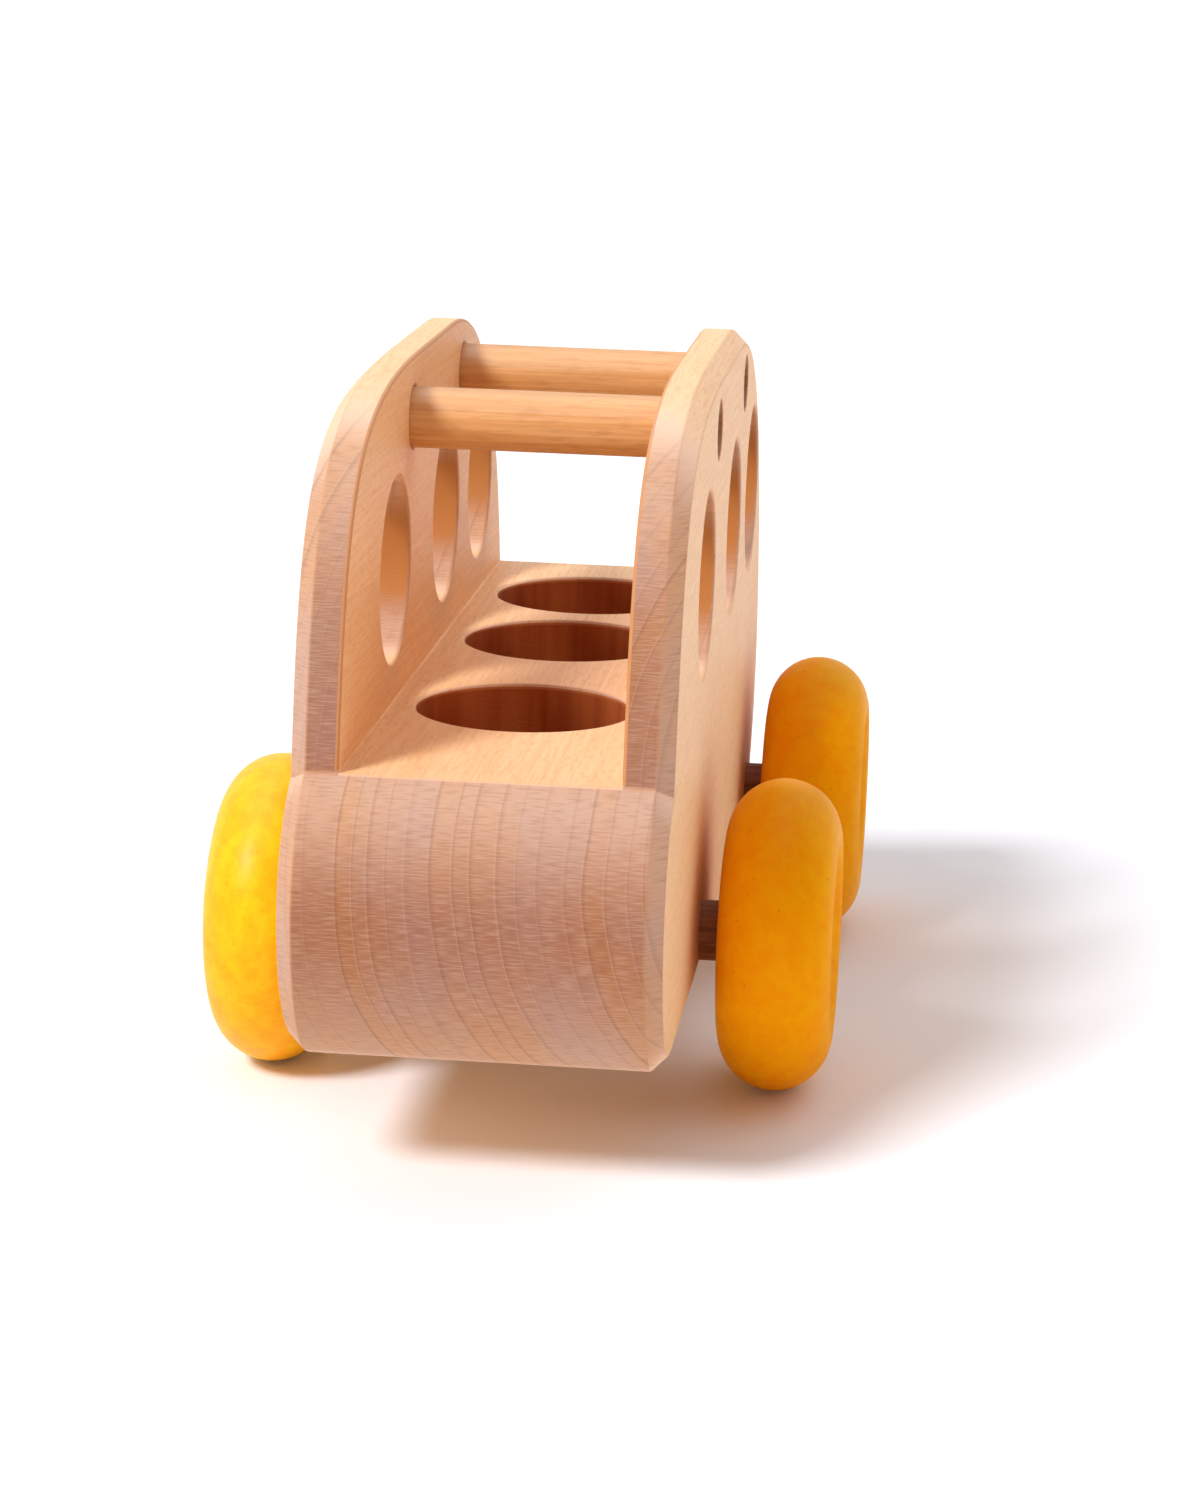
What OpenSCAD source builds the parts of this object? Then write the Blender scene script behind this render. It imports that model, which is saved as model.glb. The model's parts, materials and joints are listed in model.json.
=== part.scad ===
// Wooden toy bus: a block body with three seats, two roof bars and two turning wheelsets.
// The nose faces -Y, +X is the bus's own left side and +Z is up. The ground is at z = 0.

/* [Body] */
// Width of the body across its two sides
body_w = 78.6; // [74:0.1:96]
// Length of the body behind the front edges of its walls
body_l = 247; // [240:0.5:280]
// Height of the base from the underside to the cabin floor
base_h = 62.5; // [58:0.5:80]
// Height of the walls above the cabin floor
wall_h = 73.4; // [66:0.1:90]
// Thickness of each wall
wall_t = 10.4; // [8:0.1:12]
// Width of the chamfer round the outline of both sides
chamfer = 3.5; // [1.5:0.1:5.5]

/* [Nose, roof line and tail] */
// How far the nose stands ahead of the walls
nose_ahead = 15; // [6:0.5:20]
// Height of the foremost point of the nose above the underside
nose_h = 35; // [26:0.5:42]
// Length of the curve that carries the nose into the underside
nose_under = 29; // [22:0.5:40]
// Length of the curve from the front edge of a wall to the flat roof line
front_curve_l = 104; // [60:0.5:110]
// Length of the curve from the flat roof line to the rear edge of a wall
rear_curve_l = 93; // [60:0.5:110]
// Length of the curve that carries the rear end into the underside
tail_under = 36; // [16:0.5:40]
// Height of the curve that carries the rear end into the underside
tail_h = 45; // [30:0.5:56]
// Height of the upright stretch of the rear end
tail_upright = 3; // [1:0.5:20]

/* [Seats and windows] */
// Places of the seats and the windows beside them, as shares of the body's length from its wall fronts
seat_shares = [0.2846, 0.5862, 0.819]; // [0.2:0.0001:0.9]
// Radius of a seat hole
seat_r = 23.6; // [18:0.1:25]
// Depth of a seat hole
seat_depth = 30; // [15:0.5:32]
// Radius of the round-over at the rim of a seat hole
seat_rim = 1.2; // [0.5:0.1:2]
// Radius of a window
window_r = 20.4; // [12:0.1:22]
// Height of the window centres above the cabin floor
window_h = 29.1; // [26:0.1:32]

/* [Roof bars] */
// Radius of a roof bar
bar_r = 6.8; // [4:0.1:8]
// Places of the front and the rear bar, as shares of the body's length from its wall fronts
bar_shares = [0.3765, 0.6862]; // [0.3:0.0001:0.8]
// Depth of the bar centres below the roof line
bar_drop = 13.8; // [11:0.1:16]
// How far the bar ends lie inside the outer faces of the walls
bar_recess = 1.5; // [0.5:0.1:3]

/* [Wheels and axles] */
// Radius of a wheel
wheel_r = 35; // [28:0.1:40]
// Width of a wheel, with a fully rounded tread
wheel_w = 25.3; // [18:0.1:30]
// Depth of the dish in the outer face of a wheel
dish_depth = 6; // [2:0.1:9]
// Gap between a wheel and the side of the body
wheel_gap = 5.1; // [1:0.1:7]
// Radius of an axle
axle_r = 6.8; // [5:0.1:8]
// Wood left under the axles
axle_floor = 3; // [2:0.1:8]
// Distance of the front axle behind the front edges of the walls
front_axle_back = 85.6; // [80:0.1:95]
// Distance of the rear axle ahead of the rear end
rear_axle_ahead = 26; // [25:0.1:42]
// How far an axle end lies below the bottom of the dish
axle_recess = 0.5; // [0.2:0.1:1.5]

/* [Hidden] */

// Radial play of an axle in the body
axle_play = 0.1;
// Radial gap of a glued bar or wheel
glue_gap = 0.05;
// Overrun of every cut past the face that it opens
overrun = 5;
// Facets of a full circle, and straight steps along each curve of the outline
$fn = 96;
curve_steps = 18;

// Where the nose curve meets the cabin floor, as an angle round the curve
nose_top_angle = 60;
// Control points of the roof line's curves, as shares of each curve's length and height
front_lean_share = 0.0625;
front_rise_share = 0.847;
front_fall_share = 0.25;
rear_lean_share = 0.065;
rear_rise_share = 0.53;
rear_fall_share = 0.37;

// Heights above the ground
axle_z = wheel_r;
underside_z = axle_z - axle_r - axle_floor;
deck_z = underside_z + base_h;
roof_z = deck_z + wall_h;
nose_z = underside_z + nose_h;
tail_z = underside_z + tail_h;
rear_curve_z = tail_z + tail_upright;
window_z = deck_z + window_h;
bar_z = roof_z - bar_drop;

// The walls' front edges, placed so that the origin lies midway between the nose and the rear wheels
rear_axle_back = body_l - rear_axle_ahead;
rear_reach = max(body_l, rear_axle_back + wheel_r);
wall_front = (nose_ahead - rear_reach) / 2;
seat_backs = body_l * seat_shares;
bar_backs = body_l * bar_shares;

// Distances to the side from the middle of the bus
side_x = body_w / 2;
wheel_inner_x = side_x + wheel_gap;
wheel_outer_x = wheel_inner_x + wheel_w;
axle_end_x = wheel_outer_x - dish_depth - axle_recess;

// The wheel's rounded tread, and the sphere that hollows its outer face
tread_r = wheel_w / 2;
crest_r = wheel_r - tread_r;
dish_r = (crest_r * crest_r + dish_depth * dish_depth) / (2 * dish_depth);

// Points of an elliptic arc, without its last point
function arc(centre, radii, from, to) = [
    for (i = [0 : curve_steps - 1])
        let (a = from + (to - from) * i / curve_steps)
            [centre.x + radii.x * cos(a), centre.y + radii.y * sin(a)]
];

// Points of a cubic curve with four control points, without its last point
function curve(p, q, r, s) = [
    for (i = [0 : curve_steps - 1])
        let (t = i / curve_steps, u = 1 - t)
            u * u * u * p + 3 * u * u * t * q + 3 * u * t * t * r + t * t * t * s
];

// Side outline of the body as distance behind the walls' front edges and height, clockwise from the underside
nose_top_radii = [nose_ahead / (1 - cos(nose_top_angle)), (deck_z - nose_z) / sin(nose_top_angle)];
rear_curve_h = roof_z - rear_curve_z;
side_outline = concat(
    arc([nose_under - nose_ahead, nose_z], [nose_under, nose_h], 270, 180),
    arc([nose_top_radii.x - nose_ahead, nose_z], nose_top_radii, 180, 180 - nose_top_angle),
    curve(
        [0, deck_z],
        [front_curve_l * front_lean_share, deck_z + wall_h * front_rise_share],
        [front_curve_l * front_fall_share, roof_z],
        [front_curve_l, roof_z]
    ),
    [[front_curve_l, roof_z]],
    curve(
        [body_l - rear_curve_l, roof_z],
        [body_l - rear_curve_l * rear_fall_share, roof_z],
        [body_l - rear_curve_l * rear_lean_share, rear_curve_z + rear_curve_h * rear_rise_share],
        [body_l, rear_curve_z]
    ),
    [[body_l, rear_curve_z]],
    arc([body_l - tail_under, tail_z], [tail_under, tail_h], 0, -90),
    [[body_l - tail_under, underside_z]]
);

// The outline drawn in by a distance, with every edge parallel to the edge that it came from
function edge_normal(a, b) = let (d = b - a) [d.y, -d.x] / norm(d);
function drawn_in(points, by) = [
    for (i = [0 : len(points) - 1])
        let (
            before = points[(i + len(points) - 1) % len(points)],
            after = points[(i + 1) % len(points)],
            m = edge_normal(before, points[i]),
            n = edge_normal(points[i], after)
        )
            points[i] + (m + n) * by / (1 + m * n)
];
function ring(points, x) = [for (p = points) [x, wall_front + p.x, p.y]];

// The whole block before it is cut, with a chamfer round both sides
module chamfered_block() {
    n = len(side_outline);
    inner = drawn_in(side_outline, chamfer);
    points = concat(
        ring(inner, -side_x),
        ring(side_outline, chamfer - side_x),
        ring(side_outline, side_x - chamfer),
        ring(inner, side_x)
    );
    bands = [
        for (k = [0 : 2], i = [0 : n - 1])
            let (j = (i + 1) % n)
                [k * n + i, k * n + j, (k + 1) * n + j, (k + 1) * n + i]
    ];
    caps = [[for (i = [n - 1 : -1 : 0]) i], [for (i = [0 : n - 1]) 3 * n + i]];
    polyhedron(points, concat(bands, caps), convexity = 8);
}

// A cylinder across the bus, placed by its distance behind the walls' front edges and its height
module cross_cylinder(back, z, r, half_length) {
    translate([-half_length, wall_front + back, z])
        rotate([0, 90, 0])
            cylinder(r = r, h = 2 * half_length);
}

// The space between the walls, open at the front, the top and the rear
module cabin_cut() {
    cabin_w = body_w - 2 * wall_t;
    translate([-cabin_w / 2, wall_front - overrun, deck_z])
        cube([cabin_w, body_l + 2 * overrun, wall_h + overrun]);
}

// A blind seat hole with a round-over at its rim
module seat_cut(back) {
    translate([0, wall_front + back, deck_z]) {
        translate([0, 0, -seat_depth])
            cylinder(r = seat_r, h = seat_depth + overrun);
        rotate_extrude()
            difference() {
                translate([0, -seat_rim])
                    square([seat_r + seat_rim, seat_rim]);
                translate([seat_r + seat_rim, -seat_rim])
                    circle(r = seat_rim);
            }
    }
}

module body() {
    color([0.9, 0.74, 0.58])
        difference() {
            chamfered_block();
            cabin_cut();
            for (back = seat_backs) {
                seat_cut(back);
                cross_cylinder(back, window_z, window_r, side_x + overrun);
            }
            for (back = bar_backs)
                cross_cylinder(back, bar_z, bar_r + glue_gap, side_x + overrun);
            for (back = [front_axle_back, rear_axle_back])
                cross_cylinder(back, axle_z, axle_r + axle_play, side_x + overrun);
        }
}

module roof_bar(back) {
    color([0.88, 0.66, 0.42])
        cross_cylinder(back, bar_z, bar_r, side_x - bar_recess);
}

module front_roof_bar() {
    roof_bar(bar_backs[0]);
}

module rear_roof_bar() {
    roof_bar(bar_backs[1]);
}

module axle(back) {
    color([0.36, 0.2, 0.12])
        cross_cylinder(back, axle_z, axle_r, axle_end_x);
}

module front_axle() {
    axle(front_axle_back);
}

module rear_axle() {
    axle(rear_axle_back);
}

// Half section of a wheel: radius to the right, and up from the face that looks at the body
module wheel_section() {
    difference() {
        union() {
            square([crest_r, wheel_w]);
            translate([crest_r, tread_r])
                circle(r = tread_r);
        }
        translate([0, wheel_w - dish_depth + dish_r])
            circle(r = dish_r);
        translate([-tread_r, -overrun])
            square([tread_r + axle_r + glue_gap, wheel_w + 2 * overrun]);
    }
}

// A wheel on the bus's left side for side = 1, and on its right side for side = -1
module wheel(back, side) {
    color([0.98, 0.66, 0.05])
        translate([side * wheel_inner_x, wall_front + back, axle_z])
            rotate([0, side * 90, 0])
                rotate_extrude()
                    wheel_section();
}

module front_left_wheel() {
    wheel(front_axle_back, 1);
}

module front_right_wheel() {
    wheel(front_axle_back, -1);
}

module rear_left_wheel() {
    wheel(rear_axle_back, 1);
}

module rear_right_wheel() {
    wheel(rear_axle_back, -1);
}

body();
front_roof_bar();
rear_roof_bar();
front_axle();
rear_axle();
front_left_wheel();
front_right_wheel();
rear_left_wheel();
rear_right_wheel();
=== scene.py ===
# Wooden toy bus: carved body, dowels, turned wheels, wood finishes and a plain white studio.
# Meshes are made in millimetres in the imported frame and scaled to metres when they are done.
import json
import math

import bmesh
import bpy
from mathutils import Matrix, Vector


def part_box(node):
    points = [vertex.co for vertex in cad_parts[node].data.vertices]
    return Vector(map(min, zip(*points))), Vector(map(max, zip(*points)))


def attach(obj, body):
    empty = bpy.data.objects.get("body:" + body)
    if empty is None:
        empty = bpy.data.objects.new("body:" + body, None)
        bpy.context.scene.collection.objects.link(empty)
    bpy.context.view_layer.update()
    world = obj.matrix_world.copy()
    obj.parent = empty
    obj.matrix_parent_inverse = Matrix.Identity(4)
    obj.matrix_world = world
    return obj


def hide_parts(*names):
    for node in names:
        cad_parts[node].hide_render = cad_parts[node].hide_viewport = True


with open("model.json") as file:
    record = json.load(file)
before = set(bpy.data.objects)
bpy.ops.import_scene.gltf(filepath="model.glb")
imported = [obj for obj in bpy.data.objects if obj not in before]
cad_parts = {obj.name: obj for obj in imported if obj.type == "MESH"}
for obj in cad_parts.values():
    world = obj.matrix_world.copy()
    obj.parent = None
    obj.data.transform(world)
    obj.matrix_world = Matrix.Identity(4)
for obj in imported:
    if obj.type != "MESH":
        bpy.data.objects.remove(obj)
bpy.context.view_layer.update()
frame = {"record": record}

MM = 0.001

# Camera, solved from the photograph
IMAGE_HEIGHT = 1500
FOCAL_PIXELS = 3941
SENSOR_HEIGHT = 36
CAMERA_PLACE = (0.10434, -0.88665, 0.27604)
CAMERA_AZIMUTH = 5.967
CAMERA_ELEVATION = 13.194
CAMERA_ROLL = 1.539
CLIP_START = 0.05

# Body outline, as in the part's source
NOSE_AHEAD = 15
NOSE_HEIGHT = 35
NOSE_UNDER = 29
NOSE_TOP_ANGLE = 60
FRONT_CURVE = 104
FRONT_LEAN, FRONT_RISE, FRONT_FALL = 0.0625, 0.847, 0.25
REAR_CURVE = 93
REAR_LEAN, REAR_RISE, REAR_FALL = 0.065, 0.53, 0.37
TAIL_UNDER = 36
TAIL_HEIGHT = 45
TAIL_UPRIGHT = 3
WALL = 10.4
CHAMFER = 3.5
SEAT_RIM = 1.2
WINDOW_RADIUS = 20.4
GLUE_GAP = 0.05
AXLE_PLAY = 0.1
OVERRUN = 8
CURVE_STEPS = 44
HOLE_STEPS = 128

# Easing of the sanded edges, by where the edge is
EASE_CHAMFER = 0.35
EASE_WALL = 0.75
EASE_WINDOW = 0.9
EASE_DECK = 0.6
EASE_BORE = 0.3
EASE_SEGMENTS = 3
SHARP_ANGLE = math.radians(24)
SMOOTH_ANGLE = math.radians(36)

# How strongly painted shade darkens the rounded edges, beside the cabin and elsewhere
CABIN_EDGE_SHADE = 1.0
OTHER_EDGE_SHADE = 0.25

# Tolerances for finding faces and edges by their place, and for cleaning the mesh
ON_PLANE = 0.01
ON_CIRCLE = 0.1
BY_WINDOW = 2
WELD_DISTANCE = 0.002
FLAT_ANGLE = 0.0002

# Dowels
DOWEL_STEPS = 96
DOWEL_ROWS = 24
DOWEL_EASE = 0.5
DOWEL_EASE_STEPS = 4

# Wheels
WHEEL_STEPS = 160
TREAD_STEPS = 40
BACK_STEPS = 5
CREST_STEPS = 6
DISH_STEPS = 18
DISH_DEPTH = 6
BORE_EASE = 0.5
BORE_EASE_MIDDLE = 0.3
CREST_EASE = 1.6
CREST_CLEAR = 0.25


# Camera

def set_camera():
    data = bpy.data.cameras.new("photo_camera")
    data.sensor_fit = "VERTICAL"
    data.sensor_height = SENSOR_HEIGHT
    data.lens = FOCAL_PIXELS / IMAGE_HEIGHT * SENSOR_HEIGHT
    data.clip_start = CLIP_START
    camera = bpy.data.objects.new("photo_camera", data)
    bpy.context.scene.collection.objects.link(camera)
    turn = Matrix.Rotation(math.radians(CAMERA_AZIMUTH), 4, "Z")
    tilt = Matrix.Rotation(math.radians(90 - CAMERA_ELEVATION), 4, "X")
    roll = Matrix.Rotation(math.radians(CAMERA_ROLL), 4, "Z")
    camera.matrix_world = Matrix.Translation(CAMERA_PLACE) @ turn @ tilt @ roll
    bpy.context.scene.camera = camera


set_camera()


# Places read from the frame, in millimetres

def node_box(node):
    low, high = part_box(node)
    return Vector(low) / MM, Vector(high) / MM


def cross_centre(node):
    """Middle and radius of a round piece that lies across the bus."""
    low, high = node_box(node)
    middle = (low + high) / 2
    return middle.y, middle.z, (high.z - low.z) / 2


BARS = ("front_roof_bar", "rear_roof_bar")
AXLES = ("front_axle", "rear_axle")
record = frame["record"]
body_low, body_high = node_box("body")
wall_front = body_low.y + NOSE_AHEAD
wall_rear = body_high.y
underside = body_low.z
roof = body_high.z
side = body_high.x
inner = side - WALL
seats = [mount for mount in record["mounts"] if mount["name"].endswith("_seat")]
seat_radius = seats[0]["dims"]["r_mm"]
seat_depth = seats[0]["dims"]["length_mm"] + SEAT_RIM
deck = seats[0]["pos_m"][2] / MM + seats[0]["dims"]["length_mm"] / 2 + SEAT_RIM
seat_places = [mount["pos_m"][1] / MM for mount in seats]
openings = record["physics"]["openings"]
window_boxes = [hole["box_m"] for hole in openings if hole["name"].endswith("_windows")]
window_height = sum(corner[2] for corner in window_boxes[0]) / 2 / MM
cross_bores = [(y, z, r + GLUE_GAP) for y, z, r in map(cross_centre, BARS)]
cross_bores += [(y, z, r + AXLE_PLAY) for y, z, r in map(cross_centre, AXLES)]


# Mesh tools

def add_piece(name, bm):
    mesh = bpy.data.meshes.new(name)
    bmesh.ops.recalc_face_normals(bm, faces=bm.faces)
    bm.to_mesh(mesh)
    bm.free()
    piece = bpy.data.objects.new(name, mesh)
    bpy.context.scene.collection.objects.link(piece)
    return piece


def settle(piece):
    """Puts the result of a piece's modifiers into its mesh."""
    graph = bpy.context.evaluated_depsgraph_get()
    mesh = bpy.data.meshes.new_from_object(piece.evaluated_get(graph))
    piece.modifiers.clear()
    rough = piece.data
    piece.data = mesh
    bpy.data.meshes.remove(rough)


def cut(piece, cutter):
    """Takes the cutter out of the piece, and throws the cutter away."""
    saw = piece.modifiers.new("cut", "BOOLEAN")
    saw.operation = "DIFFERENCE"
    saw.solver = "EXACT"
    saw.object = cutter
    settle(piece)
    bpy.data.objects.remove(cutter)


def bridge(bm, first, second):
    """Faces between two rings of as many points."""
    count = len(first)
    for index in range(count):
        after = (index + 1) % count
        bm.faces.new((first[index], first[after], second[after], second[index]))


def turned(name, section, y, z, steps, closed):
    """A piece turned about a line along X from a section of (x, radius), with flat ends if open."""
    bm = bmesh.new()
    rings = []
    for x, radius in section:
        ring = []
        for step in range(steps):
            angle = math.tau * step / steps
            point = (x, y + radius * math.cos(angle), z + radius * math.sin(angle))
            ring.append(bm.verts.new(point))
        rings.append(ring)
    pairs = list(zip(rings, rings[1:]))
    if closed:
        pairs.append((rings[-1], rings[0]))
    else:
        bm.faces.new(rings[0])
        bm.faces.new(rings[-1])
    for first, second in pairs:
        bridge(bm, first, second)
    return add_piece(name, bm)


def smooth(piece):
    """Brings a finished mesh to metres and smooths it between faces that meet at a shallow angle."""
    piece.data.transform(Matrix.Scale(MM, 4))
    piece.data.shade_smooth()
    piece.data.set_sharp_from_angle(angle=SMOOTH_ANGLE)
    weigh = piece.modifiers.new("flat_faces_first", "WEIGHTED_NORMAL")
    weigh.keep_sharp = True
    settle(piece)


def fit(piece, node, material):
    """Dresses a piece and puts it in the place of its CAD node."""
    piece.data.materials.clear()
    piece.data.materials.append(material)
    for body, nodes in record["behaviour"]["bodies"].items():
        if node in nodes:
            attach(piece, body)
    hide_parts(node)


# Outline of the carved body

def arc(centre, radii, first, last):
    points = []
    for step in range(CURVE_STEPS):
        angle = math.radians(first + (last - first) * step / CURVE_STEPS)
        across = centre[0] + radii[0] * math.cos(angle)
        up = centre[1] + radii[1] * math.sin(angle)
        points.append(Vector((across, up)))
    return points


def curve(p, q, r, s):
    """Points on a cubic curve from p to s that q and r pull, without the last."""
    points = []
    for step in range(CURVE_STEPS):
        t = step / CURVE_STEPS
        u = 1 - t
        weights = (u ** 3, 3 * u * u * t, 3 * u * t * t, t ** 3)
        points.append(sum((Vector(c) * w for c, w in zip((p, q, r, s), weights)), Vector((0, 0))))
    return points


def body_outline():
    """Side outline as (y, z), from the underside round the nose, roof and tail."""
    nose_z = underside + NOSE_HEIGHT
    tail_z = underside + TAIL_HEIGHT
    rear_z = tail_z + TAIL_UPRIGHT
    top_angle = math.radians(NOSE_TOP_ANGLE)
    top_radii = (NOSE_AHEAD / (1 - math.cos(top_angle)), (deck - nose_z) / math.sin(top_angle))
    nose_y = wall_front - NOSE_AHEAD
    front_end = wall_front + FRONT_CURVE
    rear_start = wall_rear - REAR_CURVE
    outline = arc((nose_y + NOSE_UNDER, nose_z), (NOSE_UNDER, NOSE_HEIGHT), 270, 180)
    outline += arc((nose_y + top_radii[0], nose_z), top_radii, 180, 180 - NOSE_TOP_ANGLE)
    outline += curve(
        (wall_front, deck),
        (wall_front + FRONT_CURVE * FRONT_LEAN, deck + (roof - deck) * FRONT_RISE),
        (wall_front + FRONT_CURVE * FRONT_FALL, roof),
        (front_end, roof),
    )
    outline.append(Vector((front_end, roof)))
    outline += curve(
        (rear_start, roof),
        (wall_rear - REAR_CURVE * REAR_FALL, roof),
        (wall_rear - REAR_CURVE * REAR_LEAN, rear_z + (roof - rear_z) * REAR_RISE),
        (wall_rear, rear_z),
    )
    outline.append(Vector((wall_rear, rear_z)))
    outline += arc((wall_rear - TAIL_UNDER, tail_z), (TAIL_UNDER, TAIL_HEIGHT), 0, -90)
    outline.append(Vector((wall_rear - TAIL_UNDER, underside)))
    return outline


def drawn_in(points, distance):
    """The outline moved in by a distance, each edge parallel to the one it came from."""
    moved = []
    for before, point, after in zip(points[-1:] + points[:-1], points, points[1:] + points[:1]):
        first = (point - before).normalized()
        second = (after - point).normalized()
        normals = Vector((first.y, -first.x)) + Vector((second.y, -second.x))
        moved.append(point + normals * distance / (1 + first.dot(second)))
    return moved


# Block and cutters

def chamfered_block():
    outline = body_outline()
    inset = drawn_in(outline, CHAMFER)
    layers = [(-side, inset), (CHAMFER - side, outline), (side - CHAMFER, outline), (side, inset)]
    bm = bmesh.new()
    rings = [[bm.verts.new((x, point.x, point.y)) for point in points] for x, points in layers]
    bm.faces.new(rings[0])
    bm.faces.new(rings[-1])
    for first, second in zip(rings, rings[1:]):
        bridge(bm, first, second)
    return add_piece("carved_body", bm)


def cross_cutter(y, z, radius):
    reach = side + OVERRUN
    return turned("cutter", [(-reach, radius), (reach, radius)], y, z, HOLE_STEPS, False)


def cabin_cutter():
    bm = bmesh.new()
    bmesh.ops.create_cube(bm, size=1)
    size = Vector((2 * inner, wall_rear - wall_front + 2 * OVERRUN, roof - deck + OVERRUN))
    middle = Vector((0, (wall_front + wall_rear) / 2, deck + size.z / 2))
    bmesh.ops.transform(bm, matrix=Matrix.LocRotScale(middle, None, size), verts=bm.verts)
    return add_piece("cutter", bm)


def seat_cutter(y):
    section = [(0, seat_radius), (seat_depth + OVERRUN, seat_radius)]
    cutter = turned("cutter", section, 0, 0, HOLE_STEPS, False)
    upright = Matrix.Rotation(-math.pi / 2, 4, "Y")
    cutter.data.transform(Matrix.Translation((0, y, deck - seat_depth)) @ upright)
    return cutter


# Where a point on the body lies

def in_seat(point):
    """Whether a point lies on the drilled wall or bottom of a seat."""
    low = point.z < deck - SEAT_RIM / 2 and point.z > deck - seat_depth - SEAT_RIM
    reach = seat_radius + ON_CIRCLE
    return low and any(math.hypot(point.x, point.y - y) < reach for y in seat_places)


def in_window(point, margin):
    """Whether a point lies in a window, or within a margin round it."""
    reach = WINDOW_RADIUS + margin
    return any(math.hypot(point.y - y, point.z - window_height) < reach for y in seat_places)


def in_corner(point):
    """Whether a point lies in the hollow corner between the cabin floor and a wall."""
    return abs(abs(point.x) - inner) < EASE_DECK and abs(point.z - deck) < EASE_DECK


def shade_on_edge(point):
    """How strongly painted shade darkens a rounded edge at a point."""
    if in_corner(point):
        return 0.0
    by_cabin = abs(abs(point.x) - inner) < EASE_WALL and point.z > deck
    return CABIN_EDGE_SHADE if by_cabin and not in_window(point, BY_WINDOW) else OTHER_EDGE_SHADE


def ease_width(start, end):
    """How far a sharp edge between two points was sanded round."""
    middle = (start + end) / 2
    if abs(start.z - deck) < ON_PLANE and abs(end.z - deck) < ON_PLANE:
        for place in seat_places:
            if abs((middle - Vector((0, place, deck))).length - seat_radius) < ON_CIRCLE:
                return SEAT_RIM
        return EASE_DECK
    if abs(start.x - end.x) < ON_PLANE:
        for place in seat_places:
            centre = Vector((middle.x, place, window_height))
            if abs((middle - centre).length - WINDOW_RADIUS) < ON_CIRCLE:
                return EASE_WINDOW
    if abs(abs(middle.x) - inner) < ON_PLANE:
        return EASE_WALL
    for y, z, radius in cross_bores:
        if abs(math.hypot(middle.y - y, middle.z - z) - radius) < ON_CIRCLE:
            return EASE_BORE
    return EASE_CHAMFER


# Carving

def weigh_edges(piece):
    """Cleans the cut mesh and gives every sharp edge its share of the widest easing."""
    bm = bmesh.new()
    bm.from_mesh(piece.data)
    bmesh.ops.remove_doubles(bm, verts=bm.verts, dist=WELD_DISTANCE)
    bmesh.ops.dissolve_limit(bm, angle_limit=FLAT_ANGLE, verts=bm.verts, edges=bm.edges)
    weight = bm.edges.layers.float.new("bevel_weight_edge")
    for edge in bm.edges:
        if edge.is_manifold and edge.calc_face_angle() > SHARP_ANGLE:
            edge[weight] = ease_width(edge.verts[0].co, edge.verts[1].co) / SEAT_RIM
    bm.to_mesh(piece.data)
    bm.free()


def mark_faces(piece, name, values):
    piece.data.attributes.new(name, "FLOAT", "FACE").data.foreach_set("value", values)


def ease_edges(piece):
    """Rounds every sharp edge by its own width, and marks the edges that get painted shade, the seats and
    the windows.
    """
    weigh_edges(piece)
    piece.data.materials.append(None)
    piece.data.materials.append(None)
    ease = piece.modifiers.new("ease", "BEVEL")
    ease.limit_method = "WEIGHT"
    ease.width = SEAT_RIM
    ease.segments = EASE_SEGMENTS
    ease.use_clamp_overlap = False
    ease.material = 1
    settle(piece)
    faces = piece.data.polygons
    # The rounded faces get their share of painted shade
    eased = [shade_on_edge(face.center) if face.material_index == 1 else 0.0 for face in faces]
    faces.foreach_set("material_index", [0] * len(faces))
    mark_faces(piece, "edge_shade", eased)
    mark_faces(piece, "seat", [float(in_seat(face.center)) for face in faces])
    mark_faces(piece, "window", [float(in_window(face.center, ON_CIRCLE)) for face in faces])


def carve_body():
    body = chamfered_block()
    cut(body, cabin_cutter())
    for place in seat_places:
        cut(body, seat_cutter(place))
        cut(body, cross_cutter(place, window_height, WINDOW_RADIUS))
    for y, z, radius in cross_bores:
        cut(body, cross_cutter(y, z, radius))
    ease_edges(body)
    smooth(body)
    return body


# Dowels and wheels

def dowel(node, name):
    """A round rod in the place of a node, with eased ends."""
    low, high = node_box(node)
    y, z, radius = cross_centre(node)
    ends = []
    for x, inward in ((low.x, 1), (high.x, -1)):
        rounding = []
        for step in range(DOWEL_EASE_STEPS + 1):
            angle = math.pi / 2 * step / DOWEL_EASE_STEPS
            back = DOWEL_EASE * (1 - math.sin(angle))
            rounding.append((x + inward * back, radius - DOWEL_EASE * (1 - math.cos(angle))))
        ends.append(rounding)
    start = low.x + DOWEL_EASE
    length = high.x - low.x - 2 * DOWEL_EASE
    middle = [(start + length * row / DOWEL_ROWS, radius) for row in range(1, DOWEL_ROWS)]
    rod = turned(name, ends[0][::-1] + middle + ends[1], y, z, DOWEL_STEPS, False)
    smooth(rod)
    return rod


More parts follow.
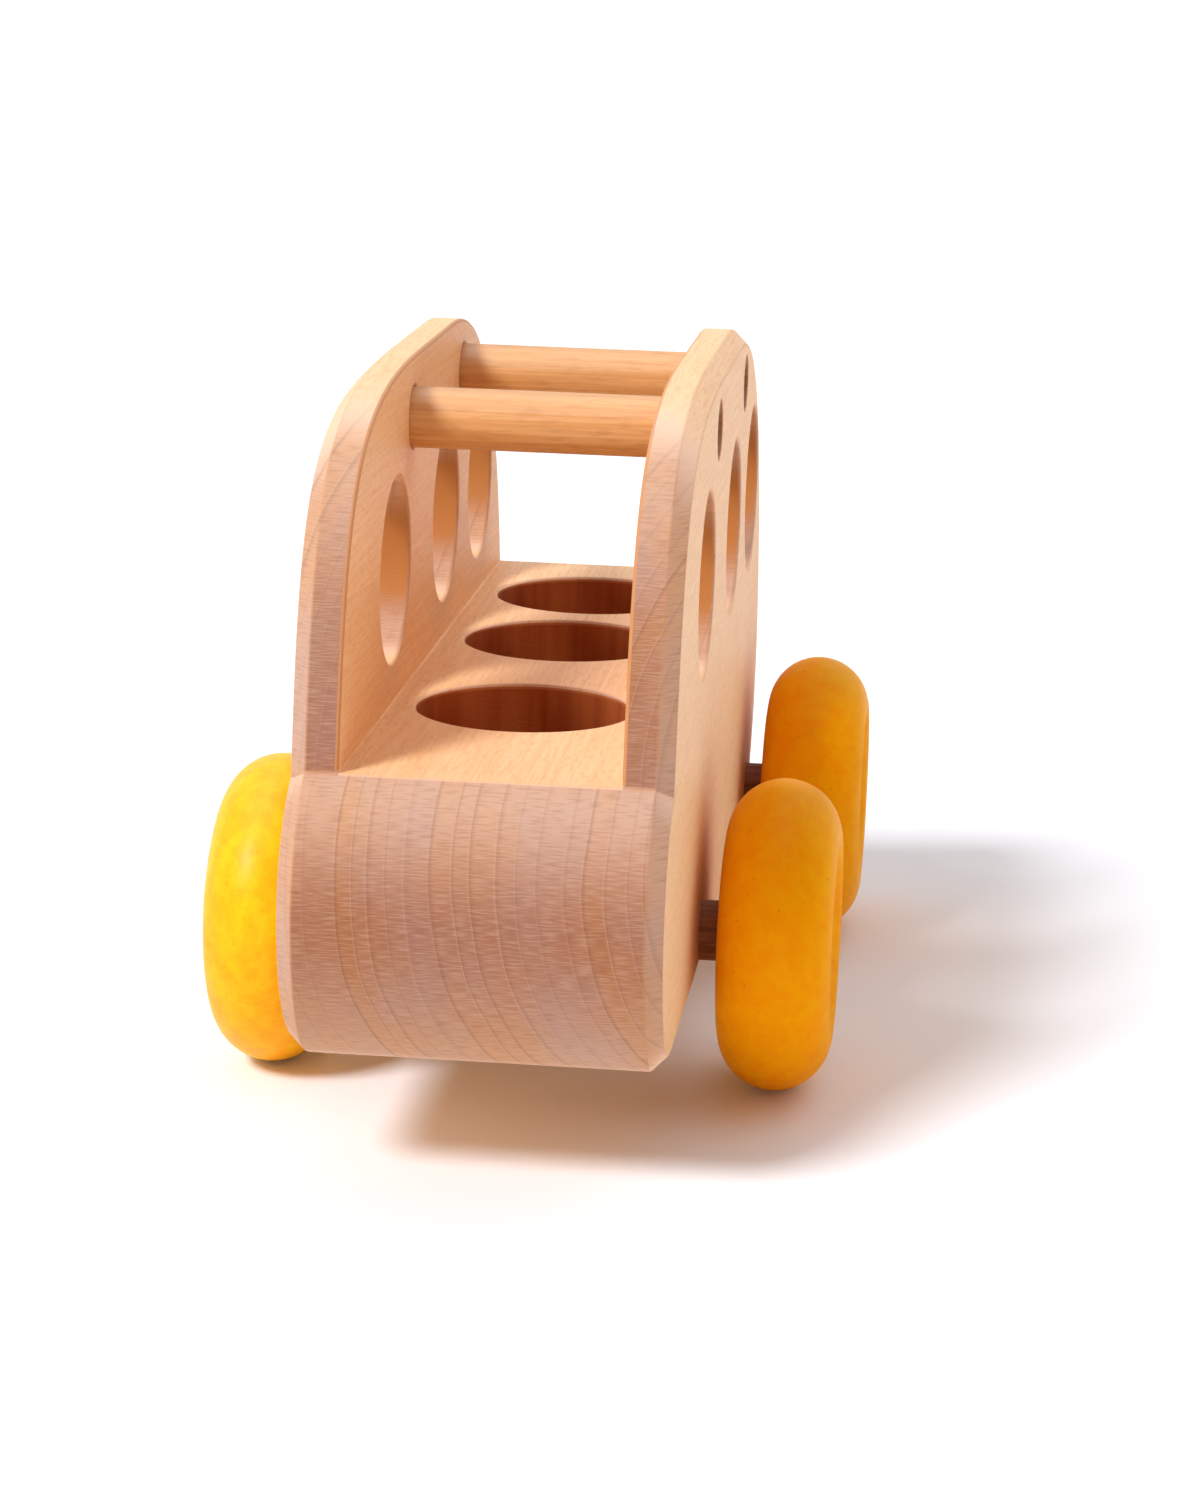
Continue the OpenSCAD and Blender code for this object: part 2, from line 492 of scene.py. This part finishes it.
def wheel_section(radius, width, bore):
    """Closed section of a wheel as (distance from the inner face, radius), from the bore outwards."""
    round_radius = width / 2
    crest = radius - round_radius
    bore_edge = bore + BORE_EASE
    bore_middle = BORE_EASE * BORE_EASE_MIDDLE
    dish = (crest * crest + DISH_DEPTH * DISH_DEPTH) / (2 * DISH_DEPTH)
    dish_centre = width - DISH_DEPTH + dish
    reach = crest - CREST_EASE

    def dish_at(r):
        return dish_centre - math.sqrt(dish * dish - r * r), r

    section = [(BORE_EASE, bore), (bore_middle, bore + bore_middle), (0, bore_edge)]
    for step in range(1, BACK_STEPS):
        section.append((0, bore_edge + (crest - bore_edge) * step / BACK_STEPS))
    for step in range(TREAD_STEPS):
        angle = math.pi * step / TREAD_STEPS
        along = round_radius * (1 - math.cos(angle))
        section.append((along, crest + round_radius * math.sin(angle)))
    section = [point for point in section if point[0] < width - CREST_CLEAR or point[1] < crest]
    rim = ((width, crest + CREST_EASE), (width, crest), dish_at(reach))
    for step in range(CREST_STEPS + 1):
        t = step / CREST_STEPS
        u = 1 - t
        weights = (u * u, 2 * u * t, t * t)
        section.append(tuple(sum(w * point[k] for w, point in zip(weights, rim)) for k in (0, 1)))
    for step in range(1, DISH_STEPS):
        section.append(dish_at(reach + (bore_edge - reach) * step / (DISH_STEPS - 1)))
    bottom = section[-1][0]
    section.append((bottom - bore_middle, bore + bore_middle))
    section.append((bottom - BORE_EASE, bore))
    return section


def turn_wheel(node, name):
    low, high = node_box(node)
    y, z, radius = cross_centre(node)
    bore = cross_centre(AXLES[0])[2] + GLUE_GAP
    left = low.x > 0
    section = wheel_section(radius, high.x - low.x, bore)
    profile = [(low.x + x if left else high.x - x, r) for x, r in section]
    wheel = turned(name, profile, y, z, WHEEL_STEPS, True)
    smooth(wheel)
    return wheel


# Shader tools

class Nodes:
    """Adds nodes to a tree and feeds their inputs with values or links."""

    def __init__(self, tree):
        self.tree = tree

    def feed(self, socket, value):
        if isinstance(value, bpy.types.NodeSocket):
            self.tree.links.new(value, socket)
        else:
            socket.default_value = value

    def put(self, kind, inputs, **settings):
        node = self.tree.nodes.new(kind)
        for name, value in settings.items():
            setattr(node, name, value)
        for name, value in inputs.items():
            self.feed(node.inputs[name], value)
        return node

    def math(self, operation, first, second=0.0):
        return self.put("ShaderNodeMath", {0: first, 1: second}, operation=operation).outputs[0]

    def vector(self, operation, first, second=(0, 0, 0)):
        node = self.put("ShaderNodeVectorMath", {0: first, 1: second}, operation=operation)
        return node.outputs["Value" if operation in ("DOT_PRODUCT", "LENGTH") else "Vector"]

    def noise(self, vector, scale, detail=2.0):
        inputs = {"Vector": vector, "Scale": scale, "Detail": detail}
        return self.put("ShaderNodeTexNoise", inputs).outputs["Fac"]

    def slope(self, value, low, high, bottom=0.0, top=1.0, kind="LINEAR"):
        inputs = {"Value": value, "From Min": low, "From Max": high, "To Min": bottom, "To Max": top}
        return self.put("ShaderNodeMapRange", inputs, interpolation_type=kind).outputs[0]

    def ramp(self, value, low, high, bottom=0.0, top=1.0):
        return self.slope(value, low, high, bottom, top, "SMOOTHSTEP")

    def mix(self, factor, first, second):
        return self.put("ShaderNodeMix", {0: factor, 6: first, 7: second}, data_type="RGBA").outputs[2]

    def tinted(self, colour, mask, amount, tint):
        """A colour with an amount of a tint over it where the mask is 1."""
        return self.mix(self.math("MULTIPLY", mask, amount), colour, tint)

    def attribute(self, name):
        return self.put("ShaderNodeAttribute", {}, attribute_name=name).outputs["Fac"]

    def place(self, group, inputs):
        return self.put("ShaderNodeGroup", inputs, node_tree=group).outputs


SOCKET_KINDS = {"value": "NodeSocketFloat", "vector": "NodeSocketVector"}


def start_group(name, inputs, outputs):
    """An empty node group with named sockets: its nodes, its inputs and its output node."""
    group = bpy.data.node_groups.new(name, "ShaderNodeTree")
    for socket, kind in inputs.items():
        group.interface.new_socket(name=socket, in_out="INPUT", socket_type=SOCKET_KINDS[kind])
    for socket in outputs:
        group.interface.new_socket(name=socket, in_out="OUTPUT", socket_type=SOCKET_KINDS["value"])
    nodes = Nodes(group)
    given = group.nodes.new("NodeGroupInput").outputs
    result = group.nodes.new("NodeGroupOutput").inputs
    return group, nodes, given, result


# Growth rings: how they bend and crowd, and the part of a year that shows as a line or a glow
BEND_SCALE = 14
CROWDING_SCALE = 0.37
CROWDING_YEARS = 1.3
FAINTEST_RING = 0.25
LATE_WOOD, YEAR_END = 0.74, 0.96
GLOW_END = 0.12


def growth_ring_group():
    """Rings about a trunk along Y. Line marks the dark late wood and Glow the pale wood beside it."""
    inputs = {"Vector": "vector", "Pith": "vector", "Ring Width": "value", "Wander": "value"}
    group, nodes, given, result = start_group("growth_rings", inputs, ("Line", "Glow", "Tone"))
    offset = nodes.vector("SUBTRACT", given["Vector"], given["Pith"])
    across = nodes.vector("MULTIPLY", offset, (1, 0, 1))
    distance = nodes.vector("LENGTH", across)
    slow = nodes.vector("MULTIPLY", given["Vector"], (1, 0.15, 1))
    bend = nodes.math("SUBTRACT", nodes.noise(slow, BEND_SCALE), 0.5)
    bend = nodes.math("MULTIPLY", bend, given["Wander"])
    distance = nodes.math("ADD", distance, bend)
    years = nodes.math("DIVIDE", distance, given["Ring Width"])
    crowding = nodes.put("ShaderNodeTexNoise", {"W": years, "Scale": CROWDING_SCALE}, noise_dimensions="1D")
    crowding = nodes.math("MULTIPLY", crowding.outputs["Fac"], CROWDING_YEARS)
    years = nodes.math("ADD", years, crowding)
    year = nodes.math("FLOOR", years)
    season = nodes.math("FRACT", years)
    luck = nodes.put("ShaderNodeTexWhiteNoise", {"W": year}, noise_dimensions="1D").outputs["Value"]
    strength = nodes.ramp(luck, 0, 1, FAINTEST_RING, 1)
    rise = nodes.ramp(season, LATE_WOOD, YEAR_END)
    line = nodes.math("MULTIPLY", rise, nodes.ramp(season, YEAR_END, 1, 1, 0))
    glow = nodes.ramp(season, 0, GLOW_END, 1, 0)
    nodes.feed(result["Line"], nodes.math("MULTIPLY", line, strength))
    nodes.feed(result["Glow"], nodes.math("MULTIPLY", glow, strength))
    nodes.feed(result["Tone"], luck)
    return group


# Fibres: how far fibres, flecks and clouds are drawn out along Y
FIBRE_DRAW = (1, 0.02, 1)
FLECK_DRAW = (1, 0.16, 1)
CLOUD_DRAW = (1, 0.3, 1)
FLECK_FINENESS = 0.9
CLOUD_SCALE = 45


def fibre_group():
    """Fibres and short flecks that run along Y, and broad colour clouds."""
    inputs = {"Vector": "vector", "Fineness": "value"}
    group, nodes, given, result = start_group("wood_fibres", inputs, ("Fibres", "Flecks", "Clouds"))
    long_way = nodes.vector("MULTIPLY", given["Vector"], FIBRE_DRAW)
    short_way = nodes.vector("MULTIPLY", given["Vector"], FLECK_DRAW)
    cloud_way = nodes.vector("MULTIPLY", given["Vector"], CLOUD_DRAW)
    fleck_fineness = nodes.math("MULTIPLY", given["Fineness"], FLECK_FINENESS)
    nodes.feed(result["Fibres"], nodes.noise(long_way, given["Fineness"], 3))
    nodes.feed(result["Flecks"], nodes.ramp(nodes.noise(short_way, fleck_fineness, 1), 0.5, 0.72))
    nodes.feed(result["Clouds"], nodes.ramp(nodes.noise(cloud_way, CLOUD_SCALE, 2), 0.3, 0.7))
    return group


# End grain: angles between normal and fibres over which each kind of cut fades out, and the marks
SKIM_FADE = (math.radians(68), math.radians(88))
END_FADE = (math.radians(56), math.radians(80))
SQUARE_FADE = (0, math.radians(54))
MARK_DRAW = (0.08, 0.0, 1)


def end_grain_group():
    """Where a surface skims, cuts or squarely cuts the fibres, and the sanding marks."""
    inputs = {"Vector": "vector", "Normal": "vector", "Mark Height": "value"}
    group, nodes, given, result = start_group("end_grain", inputs, ("Skim", "End", "Square", "Marks"))
    facing = nodes.math("ABSOLUTE", nodes.vector("DOT_PRODUCT", given["Normal"], (0, 1, 0)))
    angle = nodes.math("ARCCOSINE", nodes.math("MINIMUM", facing, 1))
    nodes.feed(result["Skim"], nodes.ramp(angle, *SKIM_FADE, 1, 0))
    nodes.feed(result["End"], nodes.ramp(angle, *END_FADE, 1, 0))
    nodes.feed(result["Square"], nodes.ramp(angle, *SQUARE_FADE, 1, 0))
    drawn_out = nodes.vector("MULTIPLY", given["Vector"], MARK_DRAW)
    nodes.feed(result["Marks"], nodes.noise(drawn_out, given["Mark Height"], 0.5))
    return group


growth_rings = growth_ring_group()
wood_fibres = fibre_group()
end_grain = end_grain_group()


def start_material(name, specular):
    material = bpy.data.materials.new(name)
    material.use_nodes = True
    nodes = Nodes(material.node_tree)
    shader = material.node_tree.nodes["Principled BSDF"]
    shader.inputs["Specular IOR Level"].default_value = specular
    return material, nodes, shader


def grain_axes(nodes, turn):
    """Object coordinates and normal, turned so that the fibres run along Y."""
    source = nodes.put("ShaderNodeTexCoord", {}).outputs
    angles = tuple(math.radians(angle) for angle in turn)
    place = nodes.put("ShaderNodeMapping", {"Vector": source["Object"], "Rotation": angles})
    facing = {"Vector": source["Normal"], "Rotation": angles}
    normal = nodes.put("ShaderNodeMapping", facing, vector_type="NORMAL")
    return place.outputs[0], normal.outputs[0]


def fibre_mix(nodes, fibres, deep, pale):
    """Two wood colours, mixed by the fibres."""
    return nodes.mix(nodes.ramp(fibres["Fibres"], 0.3, 0.7), deep, pale)


def rough_and_bump(nodes, shader, roughness, height, depth):
    nodes.feed(shader.inputs["Roughness"], roughness)
    bump = nodes.put("ShaderNodeBump", {"Height": height, "Distance": depth, "Strength": 1.0})
    nodes.feed(shader.inputs["Normal"], bump.outputs[0])


# Body wood: the trunk's lean in degrees and the colours of each kind of surface
TRUNK_LEAN = 5
ALONG_DEEP, ALONG_PALE = (0.87, 0.5, 0.235, 1), (0.93, 0.59, 0.32, 1)
ALONG_FLECK = (0.74, 0.36, 0.14, 1)
ALONG_BAND = (0.87, 0.48, 0.23, 1)
SKIMMED = (0.87, 0.575, 0.4, 1)
SLANT_COOL, SLANT_WARM = (0.54, 0.335, 0.248, 1), (0.6, 0.3, 0.14, 1)
SQUARE_COOL, SQUARE_WARM = (0.315, 0.142, 0.094, 1), (0.345, 0.126, 0.046, 1)
MARK_PALE, MARK_DEEP = (0.57, 0.375, 0.27, 1), (0.22, 0.1, 0.055, 1)
RING_LINE = (0.16, 0.065, 0.04, 1)
RING_GLOW = (0.57, 0.37, 0.27, 1)
# Seat holes: the drilled wood's own colour, made darker and redder by painted shade for the deep holes
SHADED_SEAT_DEEP, SHADED_SEAT_PALE = (0.32, 0.055, 0.005, 1), (0.43, 0.095, 0.012, 1)
WINDOW_WALL = (0.45, 0.16, 0.034, 1)
# Painted shade: a darker warm tint on the rounded edges, strongest beside the cabin
EDGE_SHADE_TINT = (0.58, 0.235, 0.075, 1)


def long_grain(nodes, rings, fibres, ends):
    """Colour along the fibres, paler where the surface skims them."""
    colour = fibre_mix(nodes, fibres, ALONG_DEEP, ALONG_PALE)
    colour = nodes.tinted(colour, fibres["Flecks"], 0.4, ALONG_FLECK)
    colour = nodes.tinted(colour, rings["Tone"], 0.1, ALONG_BAND)
    return nodes.mix(ends["Skim"], colour, SKIMMED)


def cross_grain(nodes, rings, fibres, ends):
    """Colour across the fibres, with sanding marks."""
    clouds = nodes.math("MULTIPLY", fibres["Clouds"], 0.55)
    bands = nodes.math("MULTIPLY", rings["Tone"], 0.45)
    warmth = nodes.math("ADD", clouds, bands)
    slant = nodes.mix(warmth, SLANT_COOL, SLANT_WARM)
    square = nodes.mix(warmth, SQUARE_COOL, SQUARE_WARM)
    colour = nodes.mix(ends["Square"], slant, square)
    colour = nodes.mix(nodes.ramp(ends["Marks"], 0.45, 0.7, 0, 0.25), colour, MARK_PALE)
    return nodes.mix(nodes.ramp(ends["Marks"], 0.3, 0.5, 0.23, 0), colour, MARK_DEEP)


def body_wood():
    """Oiled pale wood. Cut across the fibres it is darker, with sanding marks and growth rings."""
    material, nodes, shader = start_material("body_wood", specular=0.22)
    place, normal = grain_axes(nodes, (0, 0, 0))
    lean = {"Vector": place, "Rotation": (0, 0, math.radians(TRUNK_LEAN))}
    trunk = nodes.put("ShaderNodeMapping", lean).outputs[0]
    growth = {"Vector": trunk, "Pith": (0.14, 0, 0.08), "Ring Width": 0.0042, "Wander": 0.01}
    rings = nodes.place(growth_rings, growth)
    fibres = nodes.place(wood_fibres, {"Vector": place, "Fineness": 1500.0})
    ends = nodes.place(end_grain, {"Vector": place, "Normal": normal, "Mark Height": 3400.0})
    along = long_grain(nodes, rings, fibres, ends)
    across = cross_grain(nodes, rings, fibres, ends)
    colour = nodes.mix(ends["End"], along, across)
    line = nodes.math("MULTIPLY", rings["Line"], nodes.slope(ends["End"], 0, 1, 0.05, 0.32))
    colour = nodes.mix(line, colour, RING_LINE)
    glow = nodes.math("MULTIPLY", rings["Glow"], nodes.slope(ends["End"], 0, 1, 0.03, 0.26))
    colour = nodes.mix(glow, colour, RING_GLOW)
    # The seat holes: drilled wood with painted shade, darker and redder than the wood itself
    drill_lines = nodes.noise(nodes.vector("MULTIPLY", place, (1, 1, 0.04)), 260.0, 3)
    shaded_seat_wood = nodes.mix(nodes.ramp(drill_lines, 0.3, 0.7), SHADED_SEAT_DEEP, SHADED_SEAT_PALE)
    colour = nodes.tinted(colour, nodes.attribute("seat"), 0.94, shaded_seat_wood)
    window_tint = nodes.slope(ends["Square"], 0, 0.6, 0.08, 0.95)
    colour = nodes.tinted(colour, nodes.attribute("window"), window_tint, WINDOW_WALL)
    # Painted shade on the rounded edges
    colour = nodes.tinted(colour, nodes.attribute("edge_shade"), 0.8, EDGE_SHADE_TINT)
    nodes.feed(shader.inputs["Base Color"], colour)
    sheen = nodes.slope(ends["End"], 0, 1, 0.46, 0.6)
    roughness = nodes.math("ADD", sheen, nodes.math("MULTIPLY", fibres["Fibres"], 0.1))
    scratches = nodes.math("MULTIPLY", ends["Marks"], ends["End"])
    furrows = nodes.math("MULTIPLY", fibres["Fibres"], nodes.slope(ends["End"], 0, 1, 0.5, 0))
    height = nodes.math("ADD", scratches, furrows)
    rough_and_bump(nodes, shader, roughness, height, depth=0.00006)
    return material


# Bar wood
BAR_DEEP, BAR_PALE = (0.6, 0.27, 0.077, 1), (0.68, 0.35, 0.125, 1)
BAR_RING = (0.5, 0.22, 0.07, 1)
BAR_FLECK = (0.42, 0.165, 0.05, 1)
BAR_END_DEEP, BAR_END_PALE = (0.26, 0.11, 0.045, 1), (0.42, 0.2, 0.09, 1)
BAR_END_RING = (0.15, 0.06, 0.025, 1)


def bar_wood():
    """Honey-coloured dowel wood with dark flecks along its length."""
    material, nodes, shader = start_material("bar_wood", specular=0.5)
    place, normal = grain_axes(nodes, (0, 0, 90))
    growth = {"Vector": place, "Pith": (0.02, 0, 0.12), "Ring Width": 0.003, "Wander": 0.006}
    rings = nodes.place(growth_rings, growth)
    fibres = nodes.place(wood_fibres, {"Vector": place, "Fineness": 1300.0})
    ends = nodes.place(end_grain, {"Normal": normal})
    colour = fibre_mix(nodes, fibres, BAR_DEEP, BAR_PALE)
    colour = nodes.tinted(colour, rings["Line"], 0.2, BAR_RING)
    colour = nodes.tinted(colour, fibres["Flecks"], 0.3, BAR_FLECK)
    cut_ends = fibre_mix(nodes, fibres, BAR_END_DEEP, BAR_END_PALE)
    cut_ends = nodes.tinted(cut_ends, rings["Line"], 0.5, BAR_END_RING)
    nodes.feed(shader.inputs["Base Color"], nodes.mix(ends["End"], colour, cut_ends))
    roughness = nodes.ramp(fibres["Fibres"], 0.2, 0.8, 0.36, 0.5)
    rough_and_bump(nodes, shader, roughness, fibres["Fibres"], depth=0.0001)
    return material


# Axle wood
AXLE_DEEP, AXLE_PALE = (0.27, 0.08, 0.022, 1), (0.42, 0.16, 0.06, 1)
AXLE_FLECK = (0.15, 0.04, 0.012, 1)
AXLE_END_DEEP, AXLE_END_PALE = (0.07, 0.024, 0.01, 1), (0.16, 0.06, 0.026, 1)


def axle_wood():
    """Dark bare dowel wood with fine open grain."""
    material, nodes, shader = start_material("axle_wood", specular=0.15)
    place, normal = grain_axes(nodes, (0, 0, 90))
    fibres = nodes.place(wood_fibres, {"Vector": place, "Fineness": 900.0})
    ends = nodes.place(end_grain, {"Normal": normal})
    colour = fibre_mix(nodes, fibres, AXLE_DEEP, AXLE_PALE)
    colour = nodes.tinted(colour, fibres["Flecks"], 0.5, AXLE_FLECK)
    cut_ends = fibre_mix(nodes, fibres, AXLE_END_DEEP, AXLE_END_PALE)
    nodes.feed(shader.inputs["Base Color"], nodes.mix(ends["End"], colour, cut_ends))
    roughness = nodes.ramp(fibres["Fibres"], 0.2, 0.8, 0.5, 0.66)
    rough_and_bump(nodes, shader, roughness, fibres["Fibres"], depth=0.00015)
    return material


# Wheel stains: one stain in two copies, a yellow copy with painted light for the wheels on the lit side and
# a golden copy with painted shade for the wheels on the shaded side
PAINTED_LIGHT_YELLOW_PALE, PAINTED_LIGHT_YELLOW_DEEP = (0.98, 0.58, 0.008, 1), (0.96, 0.34, 0.002, 1)
PAINTED_LIGHT_YELLOW_SHINE = 0.14
PAINTED_SHADE_GOLDEN_PALE, PAINTED_SHADE_GOLDEN_DEEP = (0.99, 0.45, 0.002, 1), (0.98, 0.31, 0.001, 1)
PAINTED_SHADE_GOLDEN_SHINE = 0.015
PORE = (0.35, 0.12, 0.01, 1)


def wheel_stain(name, pale, deep, specular):
    """Mottled satin stain over turned wood, deeper where it soaked into cut fibres."""
    material, nodes, shader = start_material(name, specular)
    place, normal = grain_axes(nodes, (0, 0, 0))
    growth = {"Vector": place, "Pith": (0.3, 0, 0.02), "Ring Width": 0.005, "Wander": 0.01}
    rings = nodes.place(growth_rings, growth)
    fibres = nodes.place(wood_fibres, {"Vector": place, "Fineness": 1100.0})
    ends = nodes.place(end_grain, {"Normal": normal})
    end_soak = nodes.math("MULTIPLY", ends["End"], 0.25)
    cloud_soak = nodes.math("MULTIPLY", fibres["Clouds"], 0.25)
    fibre_soak = nodes.ramp(fibres["Fibres"], 0.3, 0.7, 0, 0.15)
    mottling = nodes.ramp(nodes.noise(place, 250.0, 2), 0.35, 0.65, 0, 0.3)
    soak = nodes.math("ADD", end_soak, cloud_soak)
    soak = nodes.math("ADD", soak, fibre_soak)
    soak = nodes.math("ADD", soak, mottling)
    colour = nodes.mix(soak, pale, deep)
    colour = nodes.tinted(colour, rings["Line"], 0.18, deep)
    pores = nodes.ramp(nodes.noise(place, 900.0, 1), 0.7, 0.78, 0, 0.3)
    nodes.feed(shader.inputs["Base Color"], nodes.mix(pores, colour, PORE))
    roughness = nodes.ramp(fibres["Clouds"], 0, 1, 0.36, 0.46)
    rough_and_bump(nodes, shader, roughness, fibres["Fibres"], depth=0.00005)
    return material


# The pieces

fit(carve_body(), "body", body_wood())
bar_finish = bar_wood()
for bar in BARS:
    fit(dowel(bar, bar + "_dowel"), bar, bar_finish)
axle_finish = axle_wood()
for axle in AXLES:
    fit(dowel(axle, axle + "_dowel"), axle, axle_finish)
# One stain in two copies: a yellow one with painted light and a golden one with painted shade
painted_light_yellow_finish = wheel_stain("painted_light_yellow_stain", PAINTED_LIGHT_YELLOW_PALE, PAINTED_LIGHT_YELLOW_DEEP, PAINTED_LIGHT_YELLOW_SHINE)
painted_shade_golden_finish = wheel_stain("painted_shade_golden_stain", PAINTED_SHADE_GOLDEN_PALE, PAINTED_SHADE_GOLDEN_DEEP, PAINTED_SHADE_GOLDEN_SHINE)
# The left wheels, on the shaded side, get the golden copy with painted shade
for wheel in ("front_left_wheel", "rear_left_wheel"):
    fit(turn_wheel(wheel, wheel + "_turned"), wheel, painted_shade_golden_finish)
# The right wheels, on the lit side, get the yellow copy with painted light
for wheel in ("front_right_wheel", "rear_right_wheel"):
    fit(turn_wheel(wheel, wheel + "_turned"), wheel, painted_light_yellow_finish)


# Studio

FLOOR_REACH = 12.0
PAPER = (0.94, 0.93, 0.93, 1)
PAPER_ROUGHNESS = 0.9
KEY_DIRECTION = (-0.63, -0.82, 1.0)
KEY_ANGLE = math.radians(16)
KEY_STRENGTH = 3.0
KEY_COLOUR = (0.96, 1.0, 1.06)
FILL_PLACE = (0.5, -1.8, 0.15)
FILL_SIZE = 1.0
FILL_POWER = 6.5
FILL_COLOUR = (1.0, 0.84, 0.68)
RIM_PLACE = (1.0, 1.7, 1.5)
RIM_SIZE = 1.6
RIM_POWER = 9.0
RIM_COLOUR = (0.92, 0.97, 1.0)
TOP_PLACE = (-0.15, 0.1, 1.3)
TOP_SIZE = 1.3
TOP_POWER = 16.0
TOP_COLOUR = (0.95, 0.98, 1.0)
SKY_LIGHT = (0.73, 0.74, 0.79, 1)
FRONT_LIGHT = (0.15, 0.07, 0.025, 1)
FRONT_DIRECTION = (0.2, -0.98, 0)
FRONT_FADE = (-0.1, 0.7)


def lay_floor():
    bm = bmesh.new()
    bmesh.ops.create_grid(bm, x_segments=2, y_segments=2, size=FLOOR_REACH)
    floor = add_piece("studio_floor", bm)
    material, nodes, shader = start_material("white_paper", specular=0.0)
    nodes.feed(shader.inputs["Roughness"], PAPER_ROUGHNESS)
    nodes.feed(shader.inputs["Base Color"], PAPER)
    floor.data.materials.append(material)


def light_sky():
    """Soft light from all round, weaker and warmer from the front. The camera sees it as white."""
    world = bpy.data.worlds.new("studio")
    world.use_nodes = True
    bpy.context.scene.world = world
    nodes = Nodes(world.node_tree)
    lamp = world.node_tree.nodes["Background"]
    direction = nodes.put("ShaderNodeTexCoord", {}).outputs["Generated"]
    ahead = nodes.vector("DOT_PRODUCT", direction, FRONT_DIRECTION)
    nodes.feed(lamp.inputs["Color"], nodes.mix(nodes.ramp(ahead, *FRONT_FADE), SKY_LIGHT, FRONT_LIGHT))
    seen = nodes.put("ShaderNodeBackground", {"Color": (1, 1, 1, 1), "Strength": 1.0})
    rays = nodes.put("ShaderNodeLightPath", {}).outputs
    direct = nodes.math("MAXIMUM", rays["Is Camera Ray"], rays["Is Glossy Ray"])
    direct = nodes.math("MAXIMUM", direct, rays["Is Transmission Ray"])
    both = nodes.put("ShaderNodeMixShader", {0: direct, 1: lamp.outputs[0], 2: seen.outputs[0]})
    nodes.feed(world.node_tree.nodes["World Output"].inputs["Surface"], both.outputs[0])


def hang_lamp(name, kind, place, colour, energy):
    """A lamp that looks at the bus from its place."""
    data = bpy.data.lights.new(name, kind)
    data.color = colour
    data.energy = energy
    lamp = bpy.data.objects.new(name, data)
    bpy.context.scene.collection.objects.link(lamp)
    lamp.location = place
    lamp.rotation_euler = Vector(place).to_track_quat("Z", "Y").to_euler()
    return lamp


lay_floor()
light_sky()
hang_lamp("key", "SUN", KEY_DIRECTION, KEY_COLOUR, KEY_STRENGTH).data.angle = KEY_ANGLE
hang_lamp("fill", "AREA", FILL_PLACE, FILL_COLOUR, FILL_POWER).data.size = FILL_SIZE
hang_lamp("rim", "AREA", RIM_PLACE, RIM_COLOUR, RIM_POWER).data.size = RIM_SIZE

# The top lamp only shows as a soft sheen on surfaces that reflect the ceiling
top_lamp = hang_lamp("top", "AREA", TOP_PLACE, TOP_COLOUR, TOP_POWER)
top_lamp.data.size = TOP_SIZE
top_lamp.visible_diffuse = False
bpy.context.scene.view_settings.view_transform = "Standard"

bpy.context.view_layer.update()
